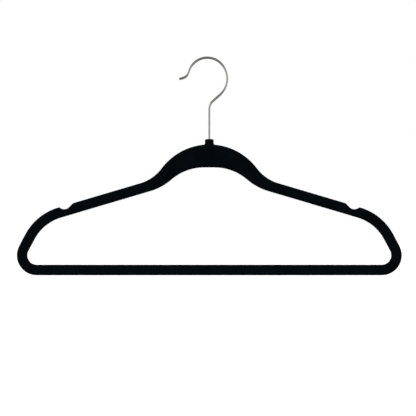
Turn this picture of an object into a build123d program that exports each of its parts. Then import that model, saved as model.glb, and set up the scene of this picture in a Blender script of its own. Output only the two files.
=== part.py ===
from build123d import *
import os
from math import acos, cos, degrees, radians, sin, sqrt, tan

# A thin flocked suit hanger with a swivel wire hook, in millimetres.
# +Z is up, the flat faces of the frame are square to Y, and the hook turns about the Z axis.
# The origin is where the hook rests on a rail: the inside of the wire, above the neck.

# Frame outline, on the flocked surface. Angles are from the horizontal unless it says so.
WIDTH = 445.0            # from shoulder to shoulder
BAR_BOTTOM = -250.0
BAND = 12.0              # depth of the arms, shoulders and trouser bar
CROWN_TOP = -98.8
CROWN_R = 68.6
CROWN_FLANK = 52.3
THROAT_R = 47.5          # the hollow between crown and arm
ARM_ROOT = -120.05       # height at which the arm's top line would cross the Z axis
ARM_SLOPE = 16.5
SHOULDER_R = 63.0
SIDE_LEAN = 27.8         # of the frame's side, from the vertical
CORNER_R = 23.0
UNDER_TOP = -125.3       # underside of the crown
UNDER_HALF = 27.0        # half the underside's flat, out to where the flanks would cross it
UNDER_FLANK = 40.0
UNDER_R = 58.0
UNDER_THROAT_R = 65.0

# Strap notch in the top of each arm, given by the point where its flanks would cross
NOTCH_X = 166.8
NOTCH_DEPTH = 6.8        # below the arm's top line
NOTCH_INNER_FLANK = 46.0
NOTCH_OUTER_FLANK = 35.0
NOTCH_INNER_R = 3.0
NOTCH_FLOOR_R = 8.0
NOTCH_LIP_R = 1.5

# Thickness, and the round neck that thickens the crown and fades into its faces
THICKNESS = 5.0
EDGE_R = 1.9
COAT = 0.5               # pile of fibres on the moulded core
NECK_R = 5.0
NECK_TOP = -92.7
NECK_TOP_R = 1.8
NECK_FADE_TOP = -100.0
NECK_FADE_R = 48.0       # arc in which the neck's side closes towards the axis

# Hook: bends as (radius, turn in degrees, straight that follows), from the neck to the tip
WIRE_R = 1.4
HOOK_BENDS = (
    (13.0, -48.3, 10.7),
    (25.0, 98.0, 0.0),
    (22.0, 111.0, 3.0),
    (9.5, -56.0, 4.5),
)
CROWN_BEND = 2           # the bend that rests on the rail
TIP_ROUND = 1.0
WIRE_END_CHAMFER = 0.3

# Swivel in the neck: a bush round the wire, and a spring ring that keeps the wire in
BUSH_R = 2.2
BUSH_LENGTH = 14.0
BUSH_RIM_R = 3.0
BUSH_RIM_HEIGHT = 0.8
RUNNING_GAP = 0.05       # wire to bush, and above and below the spring ring
MOUTH_GAP = 0.3          # between the wire and the coat round it
END_GAP = 0.5            # under the wire and under the bush
RING_Z = -104.5          # middle of the spring ring
RING_INNER_R = 1.25
RING_OUTER_R = 1.7
RING_HEIGHT = 0.6
RING_SPLIT = 0.9
WIRE_GROOVE_R = 0.95
BUSH_GROOVE_R = 1.8

CORE_TOP = NECK_TOP - COAT
BUSH_BOTTOM = CORE_TOP - BUSH_LENGTH
WIRE_BOTTOM = BUSH_BOTTOM + END_GAP


def meet(p, p_angle, q, q_angle):
    """Where the line through p at p_angle crosses the line through q at q_angle."""
    px, pz = cos(radians(p_angle)), sin(radians(p_angle))
    qx, qz = cos(radians(q_angle)), sin(radians(q_angle))
    along = ((q[0] - p[0]) * qz - (q[1] - p[1]) * qx) / (px * qz - pz * qx)
    return (p[0] + along * px, p[1] + along * pz)


def shift(p, angle, distance):
    """The point at a distance from p, in the direction of angle."""
    return (p[0] + distance * cos(radians(angle)), p[1] + distance * sin(radians(angle)))


def mirrored_face(middle, right):
    """A face on XZ from rounded corners, (point, radius): those on the axis, then one side."""
    left = [((-x, z), radius) for (x, z), radius in reversed(right)]
    corners = middle + right + left
    points = [point for point, radius in corners]
    radii = [radius for point, radius in corners]
    return make_face(Plane.XZ * FilletPolyline(*points, radius=radii, close=True))


def frame_face():
    """The frame seen from the front: a ring with a crown above and a straight bar below."""
    arm = (0, ARM_ROOT)
    corner_centre = (WIDTH / 2 - CORNER_R, BAR_BOTTOM + CORNER_R)
    side = shift(corner_centre, SIDE_LEAN, CORNER_R)
    side_angle = 90 + SIDE_LEAN

    apex = (0, CROWN_TOP + CROWN_R * (1 / cos(radians(CROWN_FLANK)) - 1))
    notch_floor = (NOTCH_X, ARM_ROOT - NOTCH_X * tan(radians(ARM_SLOPE)) - NOTCH_DEPTH)
    outer = mirrored_face(
        [(apex, CROWN_R)],
        [
            (meet(apex, -CROWN_FLANK, arm, -ARM_SLOPE), THROAT_R),
            (meet(arm, -ARM_SLOPE, notch_floor, -NOTCH_INNER_FLANK), NOTCH_INNER_R),
            (notch_floor, NOTCH_FLOOR_R),
            (meet(arm, -ARM_SLOPE, notch_floor, NOTCH_OUTER_FLANK), NOTCH_LIP_R),
            (meet(arm, -ARM_SLOPE, side, side_angle), SHOULDER_R),
            (meet(side, side_angle, (0, BAR_BOTTOM), 0), CORNER_R),
        ],
    )

    under = (UNDER_HALF, UNDER_TOP)
    arm_under = shift(arm, -90 - ARM_SLOPE, BAND)
    side_inside = shift(side, 180 + SIDE_LEAN, BAND)
    opening = mirrored_face(
        [],
        [
            (under, UNDER_R),
            (meet(under, -UNDER_FLANK, arm_under, -ARM_SLOPE), UNDER_THROAT_R),
            (meet(arm_under, -ARM_SLOPE, side_inside, side_angle), SHOULDER_R - BAND),
            (meet(side_inside, side_angle, (0, BAR_BOTTOM + BAND), 0), CORNER_R - BAND),
        ],
    )
    return outer - opening


def neck(inset):
    """The round neck, as much smaller all round as inset says."""
    radius = NECK_R - inset
    top_r = NECK_TOP_R - inset
    fade_r = NECK_FADE_R - inset
    top = Line((0, NECK_TOP - inset), (radius - top_r, NECK_TOP - inset))
    rim = JernArc(top @ 1, (1, 0), top_r, -90)
    side = Line(rim @ 1, (radius, NECK_FADE_TOP))
    fade = JernArc(side @ 1, (0, -1), fade_r, -degrees(acos(1 - radius / fade_r)))
    axis = Line(fade @ 1, top @ 0)
    return revolve(make_face(Plane.XZ * Curve([top, rim, side, fade, axis])), Axis.Z)


def frame_solid(face, inset):
    """The frame with rounded edges and its neck, as much smaller all round as inset says."""
    if inset:
        face = offset(face, amount=-inset)
    slab = extrude(face, amount=THICKNESS / 2 - inset, both=True)
    rims = slab.edges().group_by(Axis.Y)
    slab = fillet(rims[0] + rims[-1], EDGE_R - inset)
    return slab + neck(inset)


def hook_line():
    """The centre line of the wire, on XZ, from its lower end to the tip."""
    bends = []
    end, heading = (0, 0), (0, 1)
    for radius, turn, straight in HOOK_BENDS:
        bend = JernArc(end, heading, radius, turn)
        bends.append(bend)
        if straight:
            bends.append(PolarLine(bend @ 1, straight, direction=bend % 1))
        end, heading = bends[-1] @ 1, bends[-1] % 1
    crown = [line for line in bends if isinstance(line, JernArc)][CROWN_BEND]
    centre = crown.center_point
    crown_height = centre.Y + sqrt(crown.radius ** 2 - centre.X ** 2)
    neck_bend = WIRE_R - crown_height
    stem = Line((0, WIRE_BOTTOM), (0, neck_bend))
    return Plane.XZ * Wire([stem] + [Pos(0, neck_bend) * bend for bend in bends])


def tube(outer_r, inner_r, height, middle):
    """A round tube on the Z axis, given by the height of its middle."""
    return Pos(0, 0, middle) * (Cylinder(outer_r, height) - Cylinder(inner_r, height))


def hook_wire():
    line = hook_line()
    wire = sweep(Plane.XY.offset(WIRE_BOTTOM) * Circle(WIRE_R), path=line)
    tip = wire.faces().sort_by_distance(line @ 1)[0]
    wire = fillet(tip.edges(), TIP_ROUND)
    wire = chamfer(wire.faces().sort_by(Axis.Z)[0].edges(), WIRE_END_CHAMFER)
    return wire - tube(2 * WIRE_R, WIRE_GROOVE_R, RING_HEIGHT + 2 * RUNNING_GAP, RING_Z)


def retaining_ring():
    ring = tube(RING_OUTER_R, RING_INNER_R, RING_HEIGHT, RING_Z)
    return ring - Pos(RING_OUTER_R, 0, RING_Z) * Box(2 * RING_OUTER_R, RING_SPLIT, 2 * RING_HEIGHT)


def neck_bush():
    bore_r = WIRE_R + RUNNING_GAP
    body = tube(BUSH_R, bore_r, BUSH_LENGTH, CORE_TOP - BUSH_LENGTH / 2)
    rim = tube(BUSH_RIM_R, bore_r, BUSH_RIM_HEIGHT, CORE_TOP - BUSH_RIM_HEIGHT / 2)
    return body + rim - Pos(0, 0, RING_Z) * Cylinder(BUSH_GROOVE_R, RING_HEIGHT + 2 * RUNNING_GAP)


def frame_core(envelope):
    """The moulded frame, with a blind hole down the neck for the bush."""
    depth = BUSH_LENGTH + END_GAP
    hole = Pos(0, 0, CORE_TOP - depth / 2) * Cylinder(BUSH_R, depth)
    rim_seat = Pos(0, 0, CORE_TOP - BUSH_RIM_HEIGHT / 2) * Cylinder(BUSH_RIM_R, BUSH_RIM_HEIGHT)
    return envelope - hole - rim_seat


def flock_coat(face, envelope):
    """The pile round the core, open only where the wire comes out."""
    mouth = Pos(0, 0, NECK_TOP) * Cylinder(WIRE_R + MOUTH_GAP, 4 * COAT)
    return frame_solid(face, 0) - envelope - mouth


def main():
    face = frame_face()
    envelope = frame_solid(face, COAT)
    nodes = {
        "hook_wire": hook_wire(),
        "retaining_ring": retaining_ring(),
        "neck_bush": neck_bush(),
        "frame_core": frame_core(envelope),
        "flock_coat": flock_coat(face, envelope),
    }
    os.makedirs("parts", exist_ok=True)
    for node, shape in nodes.items():
        export_step(shape, f"parts/{node}.step")


main()
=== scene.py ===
import math

import bmesh
import bpy
import numpy as np
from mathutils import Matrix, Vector, noise
from mathutils.bvhtree import BVHTree


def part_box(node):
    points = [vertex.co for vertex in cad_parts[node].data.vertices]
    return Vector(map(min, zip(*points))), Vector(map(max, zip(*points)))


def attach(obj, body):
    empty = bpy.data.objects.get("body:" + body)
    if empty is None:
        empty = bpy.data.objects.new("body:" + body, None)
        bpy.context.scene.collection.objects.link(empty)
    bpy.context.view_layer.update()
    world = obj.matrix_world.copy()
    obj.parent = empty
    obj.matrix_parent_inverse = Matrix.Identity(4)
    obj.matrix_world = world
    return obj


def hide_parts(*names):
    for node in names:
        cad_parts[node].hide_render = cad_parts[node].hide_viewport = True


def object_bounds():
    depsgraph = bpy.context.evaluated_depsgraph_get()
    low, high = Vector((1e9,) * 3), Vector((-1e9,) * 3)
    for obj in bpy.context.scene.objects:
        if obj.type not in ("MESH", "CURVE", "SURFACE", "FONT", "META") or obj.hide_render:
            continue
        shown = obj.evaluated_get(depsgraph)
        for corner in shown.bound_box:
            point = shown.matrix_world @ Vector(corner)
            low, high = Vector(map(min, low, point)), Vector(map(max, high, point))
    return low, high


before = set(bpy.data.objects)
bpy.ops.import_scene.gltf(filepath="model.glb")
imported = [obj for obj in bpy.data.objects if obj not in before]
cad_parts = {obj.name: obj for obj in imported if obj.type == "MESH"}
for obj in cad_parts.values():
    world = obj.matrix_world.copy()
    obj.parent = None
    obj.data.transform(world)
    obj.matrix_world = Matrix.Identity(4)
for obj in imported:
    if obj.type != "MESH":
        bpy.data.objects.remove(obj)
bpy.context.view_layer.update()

MM = 0.001

SHORTEST_EDGE = 0.001 * MM   # points nearer than this are one point

# The hook's wire, as the CAD bends it: (radius, turn in degrees, straight that follows).
HOOK_BENDS = (
    (13.0 * MM, -48.3, 10.7 * MM),
    (25.0 * MM, 98.0, 0.0),
    (22.0 * MM, 111.0, 3.0 * MM),
    (9.5 * MM, -56.0, 4.5 * MM),
)
TIP_ROUND = 1.0 * MM
TIP_STEPS = 8
WIRE_STEP = 0.6 * MM
WIRE_SIDES = 36
GROOVE_R = 0.95 * MM
GROOVE_CLEAR = 0.05 * MM
END_CHAMFER = 0.3 * MM
WIRE_CREASE = 35             # degrees between faces above which an edge shows sharp

# The pile: the mesh's cell size, how far loose ends stand past the skin, and the tufts over that.
PILE_CELL = 0.7 * MM
LOOSE_ENDS = 0.12 * MM
TUFT_HEIGHT = 0.05 * MM
TUFT_SIZE = 1.1 * MM
NAP_SIZE = 6.0 * MM
NAP_HEIGHT = 0.03 * MM
PILE_CREASE = 50
OUTSIDE_GAP = 0.25 * MM      # a point this far from the cavity is on the outside

# The mouth round the wire: its wall, and how far the cavity is carried out through it.
MOUTH_WALL_R = 2.0 * MM
MOUTH_REACH = 3.0 * MM

# The neck: hollows filled round its base, and then down the flat faces where it fades out.
NECK_BASE_Z = -98.8 * MM
NECK_SOFT_R = 9.0 * MM
NECK_SOFT_EDGE = 3.6 * MM    # the outer part of that radius, over which the filling dies away
NECK_SOFT_DROP = 3.5 * MM
NECK_SOFT_ROUNDS = 14
NECK_FADE_DEPTH = 20.0 * MM
NECK_FADE_ROUNDS = 50
FACE_Y = 2.2 * MM            # points farther than this from the middle plane are on a face
FILL_STEP = 0.5              # share of the way to its neighbours that a point goes each round

# The camera looks square at the front from far away.
VIEW_WIDTH = 481.1 * MM
VIEW_CENTRE_X = -1.5 * MM
VIEW_CENTRE_Z = -172.3 * MM
CAMERA_DISTANCE = 3.2
SENSOR = 36.0

# The room, as brightness by direction: dim in front, bright behind, and dark above and below.
COVE_FRONT = 0.29
COVE_BACK = 1.0
COVE_BACK_FROM = 0.6         # how far back a direction points, of 1, where the cove is brightest
COVE_ENDS = 0.05
COVE_LEVEL_TO = 0.3          # how steep a direction is, of 1, where the cove starts to darken
COVE_DARK_FROM = 0.75
COVE_TINT = (1.0, 1.0, 0.98, 1)

# The lights, in metres and watts; the overhead one is as broad as a bright ceiling.
AIM = (0, 0, -0.1)
SOFTBOX_PLACE = (-0.5, -1.9, 0.5)
SOFTBOX_SIZE = (1.6, 1.8)
SOFTBOX_POWER = 30
OVERHEAD_PLACE = (0, 0, 2)
OVERHEAD_STRENGTH = 3.8
OVERHEAD_SPREAD = 60

FLOOR_DROP = 0.35
FLOOR_SIZE = 60.0


# --- small helpers ---

def link(name, mesh):
    """A new object in the scene that holds the mesh."""
    piece = bpy.data.objects.new(name, mesh)
    bpy.context.scene.collection.objects.link(piece)
    return piece


def applied(piece):
    """The piece's mesh with its modifiers applied, as a new mesh."""
    graph = bpy.context.evaluated_depsgraph_get()
    return bpy.data.meshes.new_from_object(piece.evaluated_get(graph), depsgraph=graph)


def with_modifier(mesh, kind, **settings):
    """The mesh as one modifier of that kind leaves it."""
    piece = link("work", mesh)
    modifier = piece.modifiers.new(kind, kind)
    for setting, value in settings.items():
        setattr(modifier, setting, value)
    result = applied(piece)
    bpy.data.objects.remove(piece)
    return result


def points_of(mesh):
    """The mesh's points as an array."""
    points = np.empty(len(mesh.vertices) * 3)
    mesh.vertices.foreach_get("co", points)
    return points.reshape(-1, 3)


def set_points(mesh, points):
    """Puts the mesh's points where the array says."""
    mesh.vertices.foreach_set("co", points.ravel())
    mesh.update()


def welded(mesh):
    """A bmesh copy of a CAD mesh, with the seams between its faces joined."""
    copy = bmesh.new()
    copy.from_mesh(mesh)
    bmesh.ops.remove_doubles(copy, verts=copy.verts, dist=SHORTEST_EDGE)
    return copy


def to_mesh(copy, name):
    """A mesh from a bmesh, which is then freed."""
    mesh = bpy.data.meshes.new(name)
    copy.to_mesh(mesh)
    copy.free()
    return mesh


def without_slivers(mesh):
    """The mesh with edges of next to no length closed up."""
    copy = bmesh.new()
    copy.from_mesh(mesh)
    bmesh.ops.dissolve_degenerate(copy, dist=SHORTEST_EDGE, edges=copy.edges)
    return to_mesh(copy, mesh.name)


# --- the pile on the frame ---

def coat_halves():
    """The coat's outer skin, closed over the mouth, and its cavity, carried out past the mouth."""
    low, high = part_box("flock_coat")
    halves = []
    for keep_outer in (True, False):
        half = welded(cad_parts["flock_coat"].data)
        half.normal_update()
        wall = [face for face in half.faces if in_mouth_wall(face, high.z)]
        bmesh.ops.delete(half, geom=wall, context="FACES")
        lowest = min(half.verts, key=lambda vert: vert.co.z)
        outer = connected(lowest)
        doomed = [vert for vert in half.verts if (vert in outer) != keep_outer]
        bmesh.ops.delete(half, geom=doomed, context="VERTS")
        rim = [edge for edge in half.edges if edge.is_boundary]
        if not keep_outer:
            raised = bmesh.ops.extrude_edge_only(half, edges=rim)["geom"]
            rim_points = [item for item in raised if isinstance(item, bmesh.types.BMVert)]
            bmesh.ops.translate(half, verts=rim_points, vec=(0, 0, MOUTH_REACH))
            rim = [item for item in raised if isinstance(item, bmesh.types.BMEdge)]
        bmesh.ops.contextual_create(half, geom=rim)
        bmesh.ops.recalc_face_normals(half, faces=half.faces)
        halves.append(half)
    return halves


def in_mouth_wall(face, top):
    """Whether a face of the CAD coat is in the short wall round the wire."""
    centre = face.calc_center_median()
    return centre.xy.length < MOUTH_WALL_R and abs(face.normal.z) < 0.5 and centre.z > top - MM


def connected(start):
    """All the points that edges join to the start."""
    found, waiting = {start}, [start]
    while waiting:
        for edge in waiting.pop().link_edges:
            for vert in edge.verts:
                if vert not in found:
                    found.add(vert)
                    waiting.append(vert)
    return found


def normals_of(mesh):
    """The outward direction at each of the mesh's points, as an array."""
    normals = np.empty(len(mesh.vertices) * 3)
    mesh.vertices.foreach_get("normal", normals)
    return normals.reshape(-1, 3)


def fill_hollows(mesh, weight, rounds):
    """Points in hollows drawn out towards the middle of their neighbours, by their weight."""
    ends = np.empty(len(mesh.edges) * 2, np.int64)
    mesh.edges.foreach_get("vertices", ends)
    ends = ends.reshape(-1, 2)
    points = points_of(mesh)
    degree = np.bincount(ends.ravel(), minlength=len(points))[:, None]
    for _ in range(rounds):
        total = np.zeros_like(points)
        np.add.at(total, ends[:, 0], points[ends[:, 1]])
        np.add.at(total, ends[:, 1], points[ends[:, 0]])
        pull = total / degree - points
        outward = (pull * normals_of(mesh)).sum(axis=1) > 0
        points = points + (weight * outward)[:, None] * pull
        set_points(mesh, points)


def tufts(point):
    """How far the pile stands out at a point: fine tufts over broad, brushed patches."""
    fine = noise.noise(Vector(point) / TUFT_SIZE)
    broad = noise.noise(Vector(point) / NAP_SIZE)
    return LOOSE_ENDS + TUFT_HEIGHT * fine + NAP_HEIGHT * broad


def make_pile():
    """The flocked shell: small even faces, hollows filled round the neck, and tufted outside."""
    skin, cavity = coat_halves()
    skin_tree, cavity_tree = BVHTree.FromBMesh(skin), BVHTree.FromBMesh(cavity)
    cutter = link("cavity", to_mesh(cavity, "cavity"))
    mesh = with_modifier(to_mesh(skin, "skin"), "REMESH", mode="VOXEL", voxel_size=PILE_CELL)
    mesh = with_modifier(mesh, "BOOLEAN", operation="DIFFERENCE", solver="EXACT", object=cutter)
    bpy.data.objects.remove(cutter)

    points = points_of(mesh)
    outside = np.array([cavity_tree.find_nearest(Vector(p))[3] > OUTSIDE_GAP for p in points])
    for i in np.flatnonzero(outside):
        points[i] = skin_tree.find_nearest(Vector(points[i]))[0]

    set_points(mesh, points)

    from_axis = np.linalg.norm(points[:, :2], axis=1)
    near = FILL_STEP * np.clip((NECK_SOFT_R - from_axis) / NECK_SOFT_EDGE, 0, 1)
    level = np.clip(1.5 - np.abs(points[:, 2] - NECK_BASE_Z) / NECK_SOFT_DROP, 0, 1)
    fill_hollows(mesh, near * level * outside, NECK_SOFT_ROUNDS)
    under_base = NECK_BASE_Z - points[:, 2]
    fading = (under_base > 0) & (under_base < NECK_FADE_DEPTH) & (np.abs(points[:, 1]) > FACE_Y)
    fill_hollows(mesh, near * fading * outside, NECK_FADE_ROUNDS)

    points = points_of(mesh)
    normals = normals_of(mesh)
    for i in np.flatnonzero(outside):
        points[i] += tufts(points[i]) * normals[i]
    set_points(mesh, points)
    mesh = without_slivers(mesh)
    mesh.shade_smooth()
    mesh.set_sharp_from_angle(angle=math.radians(PILE_CREASE))
    return link("flocked_pile", mesh)


# --- the wire hook ---

def hook_route():
    """The wire's centre line as (point, tangent) from its lower end to the tip, on XZ."""
    low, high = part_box("hook_wire")
    radius = high.y
    here, heading = Vector((0, 0, 0)), math.radians(90)
    bends = [here.copy()]
    for bend_r, turn, straight in HOOK_BENDS:
        turn = math.radians(turn)
        steps = max(4, math.ceil(abs(turn) * bend_r / WIRE_STEP))
        chord = 2 * bend_r * math.sin(abs(turn) / steps / 2)
        for _ in range(steps):
            middle = heading + turn / steps / 2
            here = here + chord * Vector((math.cos(middle), 0, math.sin(middle)))
            heading += turn / steps
            bends.append(here.copy())
        for _ in range(math.ceil(straight / WIRE_STEP)):
            along = straight / math.ceil(straight / WIRE_STEP)
            here = here + along * Vector((math.cos(heading), 0, math.sin(heading)))
            bends.append(here.copy())
    lift = high.z - radius - max(point.z for point in bends)
    bends = [point + Vector((0, 0, lift)) for point in bends]
    stem_steps = math.ceil((bends[0].z - low.z) / WIRE_STEP)
    stem = [Vector((0, 0, low.z + (bends[0].z - low.z) * i / stem_steps)) for i in range(stem_steps)]
    return stem + bends, radius


def ring_stations(length, radius):
    """(distance along the wire, radius of the wire there): end chamfer, groove, and round tip."""
    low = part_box("hook_wire")[0].z
    ring_low, ring_high = (corner.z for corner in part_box("retaining_ring"))
    groove = (ring_low - low - GROOVE_CLEAR, ring_high - low + GROOVE_CLEAR)
    stations = [(0, radius - END_CHAMFER), (END_CHAMFER, radius)]
    stations += [(groove[0], radius), (groove[0], GROOVE_R), (groove[1], GROOVE_R), (groove[1], radius)]
    body = np.arange(groove[1] + WIRE_STEP, length - TIP_ROUND, WIRE_STEP)
    stations += [(s, radius) for s in body]
    for i in range(TIP_STEPS + 1):
        angle = math.radians(90 * i / TIP_STEPS)
        stations.append((length - TIP_ROUND + TIP_ROUND * math.sin(angle),
                         radius - TIP_ROUND + TIP_ROUND * math.cos(angle)))
    return stations


def make_hook():
    """The wire as one tube of rings along its route, closed at both ends."""
    route, radius = hook_route()
    places = np.array([list(point) for point in route])
    steps = np.linalg.norm(np.diff(places, axis=0), axis=1)
    travelled = np.concatenate([[0], np.cumsum(steps)])
    tangents = np.gradient(places, travelled, axis=0)
    tangents /= np.linalg.norm(tangents, axis=1)[:, None]

    wire = bmesh.new()
    rings = []
    for distance, ring_r in ring_stations(travelled[-1], radius):
        centre = Vector([np.interp(distance, travelled, places[:, k]) for k in range(3)])
        along = Vector([np.interp(distance, travelled, tangents[:, k]) for k in range(3)]).normalized()
        across = Vector((0, 1, 0))
        side = along.cross(across)
        ring = []
        for i in range(WIRE_SIDES):
            angle = 2 * math.pi * i / WIRE_SIDES
            out = across * math.cos(angle) + side * math.sin(angle)
            ring.append(wire.verts.new(centre + ring_r * out))
        rings.append(ring)
    for lower, upper in zip(rings, rings[1:]):
        for i in range(WIRE_SIDES):
            j = (i + 1) % WIRE_SIDES
            wire.faces.new((lower[i], lower[j], upper[j], upper[i]))
    wire.faces.new(rings[0])
    wire.faces.new(rings[-1])
    bmesh.ops.recalc_face_normals(wire, faces=wire.faces)
    mesh = to_mesh(wire, "chromed_hook")
    mesh.shade_smooth()
    mesh.set_sharp_from_angle(angle=math.radians(WIRE_CREASE))
    return link("chromed_hook", mesh)


# --- materials ---

def new_material(name):
    """A node material, its tree, and its main shader."""
    material = bpy.data.materials.new(name)
    material.use_nodes = True
    tree = material.node_tree
    return material, tree, tree.nodes["Principled BSDF"]


def add_node(tree, kind, inputs=None, **settings):
    """A node of that kind, with its settings and unlinked inputs set."""
    node = tree.nodes.new(kind)
    for setting, value in settings.items():
        setattr(node, setting, value)
    for socket, value in (inputs or {}).items():
        node.inputs[socket].default_value = value
    return node


def noise_field(tree, scale, detail=2.0, roughness=0.5, stretch=(1, 1, 1)):
    """A noise texture over the object's own coordinates, in metres."""
    place = add_node(tree, "ShaderNodeTexCoord")
    mapping = add_node(tree, "ShaderNodeMapping", {"Scale": stretch})
    field = add_node(tree, "ShaderNodeTexNoise",
                     {"Scale": scale, "Detail": detail, "Roughness": roughness})
    tree.links.new(place.outputs["Object"], mapping.inputs["Vector"])
    tree.links.new(mapping.outputs["Vector"], field.inputs["Vector"])
    return field.outputs["Fac"]


def ramp(tree, source, stops):
    """Colours between stops, (position, colour), by the source value."""
    node = add_node(tree, "ShaderNodeValToRGB")
    elements = node.color_ramp.elements
    while len(elements) < len(stops):
        elements.new(0.5)
    for element, (position, colour) in zip(elements, stops):
        element.position = position
        element.color = (*colour, 1)
    tree.links.new(source, node.inputs["Fac"])
    return node.outputs["Color"]


def spread(tree, source, low, high):
    """The source's middle range spread from low to high."""
    node = add_node(tree, "ShaderNodeMapRange",
                    {"From Min": 0.3, "From Max": 0.7, "To Min": low, "To Max": high})
    tree.links.new(source, node.inputs["Value"])
    return node.outputs["Result"]


def bump(tree, heights, shader):
    """Bumps one over the other, (height source, depth in metres, strength), into the shader."""
    normal = None
    for source, depth, strength in heights:
        node = add_node(tree, "ShaderNodeBump", {"Distance": depth, "Strength": strength})
        tree.links.new(source, node.inputs["Height"])
        if normal is not None:
            tree.links.new(normal, node.inputs["Normal"])
        normal = node.outputs["Normal"]
    tree.links.new(normal, shader.inputs["Normal"])


def flock_material():
    """Deep blue-black pile: brushed patches, fine fibre ends, and a very faint sheen."""
    material, tree, shader = new_material("black_flock")
    patches = noise_field(tree, 55, 3.0, 0.55)
    fibres = noise_field(tree, 3200, 2.0, 0.7)
    tone = ramp(tree, patches, [(0.30, (0.0014, 0.0028, 0.0039)), (0.72, (0.0025, 0.0044, 0.0059))])
    ends = ramp(tree, fibres, [(0.35, (0.55, 0.55, 0.55)), (0.70, (1.45, 1.45, 1.45))])
    mixed = add_node(tree, "ShaderNodeMix", {"Factor": 1.0}, data_type="RGBA", blend_type="MULTIPLY")
    tree.links.new(tone, mixed.inputs["A"])
    tree.links.new(ends, mixed.inputs["B"])
    tree.links.new(mixed.outputs["Result"], shader.inputs["Base Color"])
    tree.links.new(spread(tree, patches, 0.90, 1.0), shader.inputs["Roughness"])
    shader.inputs["Specular IOR Level"].default_value = 0.01
    shader.inputs["Sheen Weight"].default_value = 0.03
    shader.inputs["Sheen Roughness"].default_value = 0.35
    shader.inputs["Sheen Tint"].default_value = (0.75, 0.85, 0.90, 1)
    clumps = noise_field(tree, 1100, 3.0, 0.6)
    bump(tree, [(clumps, 0.25 * MM, 0.5), (fibres, 0.12 * MM, 0.7)], shader)
    return material


def chrome_material():
    """Bright plating over drawn wire: faint haze, and very fine lines."""
    material, tree, shader = new_material("hook_chrome")
    haze = noise_field(tree, 160, 3.0, 0.6)
    lines = noise_field(tree, 2500, 2.0, 0.6, (1, 1, 0.08))
    tone = ramp(tree, haze, [(0.35, (0.74, 0.74, 0.72)), (0.65, (0.84, 0.84, 0.82))])
    tree.links.new(tone, shader.inputs["Base Color"])
    tree.links.new(spread(tree, haze, 0.12, 0.22), shader.inputs["Roughness"])
    shader.inputs["Metallic"].default_value = 1.0
    bump(tree, [(lines, 0.005 * MM, 0.10)], shader)
    return material


def steel_material(name, dark, light, rough):
    """Plain steel with turning marks round the swivel's axis."""
    material, tree, shader = new_material(name)
    marks = noise_field(tree, 900, 3.0, 0.6, (0.15, 0.15, 4))
    tree.links.new(ramp(tree, marks, [(0.3, dark), (0.7, light)]), shader.inputs["Base Color"])
    tree.links.new(spread(tree, marks, rough - 0.08, rough + 0.08), shader.inputs["Roughness"])
    shader.inputs["Metallic"].default_value = 1.0
    bump(tree, [(marks, 0.02 * MM, 0.3)], shader)
    return material


def core_material():
    """Black moulded plastic with a fine matt grain."""
    material, tree, shader = new_material("core_plastic")
    grain = noise_field(tree, 1800, 3.0, 0.6)
    tone = ramp(tree, grain, [(0.3, (0.016, 0.017, 0.018)), (0.7, (0.024, 0.025, 0.026))])
    tree.links.new(tone, shader.inputs["Base Color"])
    tree.links.new(spread(tree, grain, 0.50, 0.65), shader.inputs["Roughness"])
    bump(tree, [(grain, 0.05 * MM, 0.3)], shader)
    return material


def dress(piece, material):
    """Gives the piece one material in all its slots."""
    piece.data.materials.clear()
    piece.data.materials.append(material)


# --- stage ---

def make_floor():
    """A pale floor under the object, which neither lights it nor shows in its gloss."""
    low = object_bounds()[0].z - FLOOR_DROP
    half = FLOOR_SIZE / 2
    corners = [(-half, -half, low), (half, -half, low), (half, half, low), (-half, half, low)]
    mesh = bpy.data.meshes.new("floor")
    mesh.from_pydata(corners, [], [(0, 1, 2, 3)])
    floor = link("floor", mesh)
    material, tree, shader = new_material("floor_pale")
    tone = ramp(tree, noise_field(tree, 3, 2.0), [(0.3, (0.86, 0.86, 0.86)), (0.7, (0.90, 0.90, 0.90))])
    tree.links.new(tone, shader.inputs["Base Color"])
    shader.inputs["Roughness"].default_value = 0.9
    dress(floor, material)
    floor.visible_glossy = False
    floor.visible_diffuse = False


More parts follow.
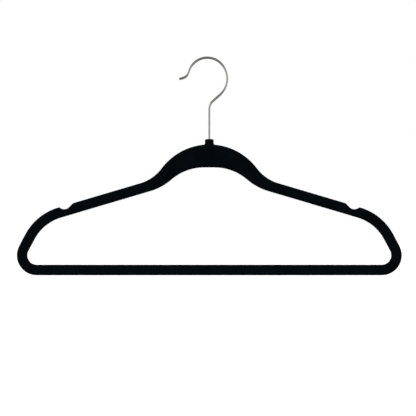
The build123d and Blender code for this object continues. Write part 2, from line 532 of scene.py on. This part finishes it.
def make_world():
    """White behind the object; all round it, a bright cove with a dim front, floor and ceiling."""
    world = bpy.data.worlds.new("studio")
    bpy.context.scene.world = world
    world.use_nodes = True
    tree = world.node_tree
    room = tree.nodes["Background"]
    direction = add_node(tree, "ShaderNodeTexCoord")
    parts = add_node(tree, "ShaderNodeSeparateXYZ")
    tree.links.new(direction.outputs["Generated"], parts.inputs["Vector"])
    backward = add_node(tree, "ShaderNodeMapRange",
                        {"From Min": -1.0, "From Max": COVE_BACK_FROM,
                         "To Min": COVE_FRONT, "To Max": COVE_BACK})
    tree.links.new(parts.outputs["Y"], backward.inputs["Value"])
    height = add_node(tree, "ShaderNodeMath", operation="ABSOLUTE")
    tree.links.new(parts.outputs["Z"], height.inputs[0])
    level = add_node(tree, "ShaderNodeMapRange",
                     {"From Min": COVE_LEVEL_TO, "From Max": COVE_DARK_FROM,
                      "To Min": 1.0, "To Max": COVE_ENDS},
                     interpolation_type="SMOOTHSTEP")
    tree.links.new(height.outputs["Value"], level.inputs["Value"])
    strength = add_node(tree, "ShaderNodeMath", operation="MULTIPLY")
    tree.links.new(backward.outputs["Result"], strength.inputs[0])
    tree.links.new(level.outputs["Result"], strength.inputs[1])
    room.inputs["Color"].default_value = COVE_TINT
    tree.links.new(strength.outputs["Value"], room.inputs["Strength"])
    backdrop = add_node(tree, "ShaderNodeBackground", {"Color": (1, 1, 1, 1), "Strength": 1.0})
    path = add_node(tree, "ShaderNodeLightPath")
    mix = add_node(tree, "ShaderNodeMixShader")
    tree.links.new(path.outputs["Is Camera Ray"], mix.inputs["Fac"])
    tree.links.new(room.outputs["Background"], mix.inputs[1])
    tree.links.new(backdrop.outputs["Background"], mix.inputs[2])
    tree.links.new(mix.outputs["Shader"], tree.nodes["World Output"].inputs["Surface"])


def hang_lamp(lamp, place):
    """A lamp at a place, aimed at the object, which doesn't show in the object's gloss."""
    holder = bpy.data.objects.new(lamp.name, lamp)
    bpy.context.scene.collection.objects.link(holder)
    holder.location = place
    holder.rotation_euler = (Vector(AIM) - Vector(place)).to_track_quat("-Z", "Y").to_euler()
    holder.visible_camera = False
    holder.visible_glossy = False


def light_stage():
    """A softbox in front, a little to the left, and a broad light overhead."""
    softbox = bpy.data.lights.new("front_softbox", "AREA")
    softbox.shape = "RECTANGLE"
    softbox.size, softbox.size_y = SOFTBOX_SIZE
    softbox.energy = SOFTBOX_POWER
    hang_lamp(softbox, SOFTBOX_PLACE)
    overhead = bpy.data.lights.new("overhead", "SUN")
    overhead.energy = OVERHEAD_STRENGTH
    overhead.angle = math.radians(OVERHEAD_SPREAD)
    hang_lamp(overhead, OVERHEAD_PLACE)


def make_camera():
    """A long lens square to the front."""
    camera = bpy.data.cameras.new("camera")
    camera.sensor_width = SENSOR
    camera.lens = SENSOR * CAMERA_DISTANCE / VIEW_WIDTH
    camera.clip_end = 200
    eye = bpy.data.objects.new("camera", camera)
    bpy.context.scene.collection.objects.link(eye)
    eye.location = (VIEW_CENTRE_X, -CAMERA_DISTANCE, VIEW_CENTRE_Z)
    eye.rotation_euler = (math.radians(90), 0, 0)
    bpy.context.scene.camera = eye


# --- the scene ---

make_camera()
make_world()
light_stage()
make_floor()
bpy.context.scene.view_settings.view_transform = "Standard"

pile = make_pile()
dress(pile, flock_material())
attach(pile, "frame")
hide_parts("flock_coat")

hook = make_hook()
dress(hook, chrome_material())
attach(hook, "hook")
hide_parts("hook_wire")

bush_steel = steel_material("bush_steel", (0.50, 0.51, 0.52), (0.68, 0.69, 0.70), 0.30)
spring_steel = steel_material("spring_steel", (0.26, 0.27, 0.29), (0.42, 0.43, 0.45), 0.35)
dress(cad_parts["frame_core"], core_material())
dress(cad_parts["neck_bush"], bush_steel)
dress(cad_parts["retaining_ring"], spring_steel)
